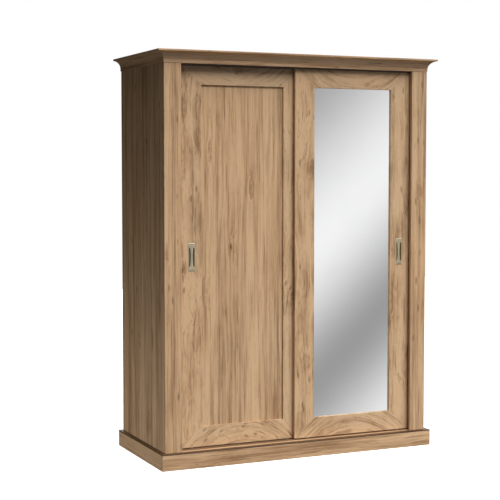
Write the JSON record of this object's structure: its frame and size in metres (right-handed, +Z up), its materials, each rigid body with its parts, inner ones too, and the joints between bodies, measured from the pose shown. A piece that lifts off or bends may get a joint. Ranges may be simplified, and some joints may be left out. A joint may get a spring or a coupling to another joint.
{
  "type": "sliding door wardrobe",
  "caption": "Freestanding wardrobe with a coved cornice and plinth, one panelled and one mirrored sliding door on twin tracks, shelves and a hanging rail inside.",
  "frame": {"origin": "on the floor, under the middle of the overall footprint", "axes": "+X to the right seen from the front, +Y to the back, +Z up; the doors face -Y"},
  "size_m": [1.58, 0.697, 2.075],
  "materials": {
    "oak_upright": "satin foil with upright knotty oak grain",
    "oak_level": "satin foil with level knotty oak grain",
    "oak_frame": "satin foil with swirling knotty oak grain",
    "white_board": "painted hardboard, matt",
    "grey_backing": "plain hardboard, matt",
    "raw_chipboard": "foiled chipboard, matt",
    "brown_cap": "dark brown foil, satin",
    "bronze_track": "bronze anodised, satin",
    "black_plastic": "moulded, matt",
    "chrome_rail": "polished",
    "zinc_steel": "zinc plated",
    "birch_dowel": "fluted birch, raw",
    "antique_nickel": "antique nickel, satin",
    "white_nylon": "moulded nylon",
    "mirror_glass": "silvered float glass"
  },
  "bodies": {
    "carcass": {"side_left": "oak_upright", "side_right": "oak_upright", "bottom_panel": "oak_level", "top_panel": "oak_level", "partition": "oak_upright", "hat_shelf_left": "oak_level", "hat_shelf_right": "oak_level", "shelf_lower": "oak_level", "shelf_middle": "oak_level", "shelf_upper": "oak_level", "back_sheet_left": "white_board", "back_sheet_right": "white_board", "back_screws": "zinc_steel", "base_rail_front": "raw_chipboard", "base_rail_back": "raw_chipboard", "base_rail_middle": "raw_chipboard", "floor_glides": "black_plastic", "pilaster_left": "oak_upright", "pilaster_right": "oak_upright", "fascia": "oak_level", "plinth_front": "oak_level", "plinth_left": "oak_level", "plinth_right": "oak_level", "plinth_caps": "brown_cap", "cornice_front": "oak_level", "cornice_left": "oak_level", "cornice_right": "oak_level", "upper_track": "bronze_track", "lower_track": "bronze_track", "door_stops": "black_plastic", "hanging_rail": "chrome_rail", "rail_sockets": "chrome_rail", "shelf_pins": "zinc_steel", "cam_fittings": "zinc_steel", "wooden_dowels": "birch_dowel", "chipboard_screws": "zinc_steel", "wall_brackets": "zinc_steel"},
    "left_door": {"left_outer_stile": "oak_frame", "left_inner_stile": "oak_frame", "left_top_rail": "oak_frame", "left_bottom_rail": "oak_frame", "left_panel": "oak_upright", "left_handle": "antique_nickel", "left_top_guides": "white_nylon", "left_roller_housings": "zinc_steel", "left_roller_axles": "zinc_steel"},
    "right_door": {"right_outer_stile": "oak_frame", "right_inner_stile": "oak_frame", "right_top_rail": "oak_frame", "right_bottom_rail": "oak_frame", "right_mirror": "mirror_glass", "right_backing": "grey_backing", "right_handle": "antique_nickel", "right_top_guides": "white_nylon", "right_roller_housings": "zinc_steel", "right_roller_axles": "zinc_steel"},
    "left_roller_outer": {"left_roller_outer": "white_nylon"},
    "left_roller_inner": {"left_roller_inner": "white_nylon"},
    "right_roller_outer": {"right_roller_outer": "white_nylon"},
    "right_roller_inner": {"right_roller_inner": "white_nylon"}
  },
  "joints": [
    {"name": "left_door_slide", "type": "slide", "parent": "carcass", "child": "left_door", "axis": [1, 0, 0], "range_m": [0, 0.54]},
    {"name": "right_door_slide", "type": "slide", "parent": "carcass", "child": "right_door", "axis": [-1, 0, 0], "range_m": [0, 0.64]},
    {"name": "left_roller_outer_spin", "type": "hinge", "parent": "left_door", "child": "left_roller_outer", "pos_m": [-0.583, -0.2433, 0.1005], "axis": [0, 1, 0], "continuous": true},
    {"name": "left_roller_inner_spin", "type": "hinge", "parent": "left_door", "child": "left_roller_inner", "pos_m": [-0.044, -0.2433, 0.1005], "axis": [0, 1, 0], "continuous": true},
    {"name": "right_roller_outer_spin", "type": "hinge", "parent": "right_door", "child": "right_roller_outer", "pos_m": [0.599, -0.2679, 0.1005], "axis": [0, 1, 0], "continuous": true},
    {"name": "right_roller_inner_spin", "type": "hinge", "parent": "right_door", "child": "right_roller_inner", "pos_m": [0.06, -0.2679, 0.1005], "axis": [0, 1, 0], "continuous": true}
  ],
  "couplings": [
    {"joint": "left_roller_outer_spin", "follows": "left_door_slide", "rad_per_m": 84.746},
    {"joint": "left_roller_inner_spin", "follows": "left_door_slide", "rad_per_m": 84.746},
    {"joint": "right_roller_outer_spin", "follows": "right_door_slide", "rad_per_m": -84.746},
    {"joint": "right_roller_inner_spin", "follows": "right_door_slide", "rad_per_m": -84.746}
  ]
}
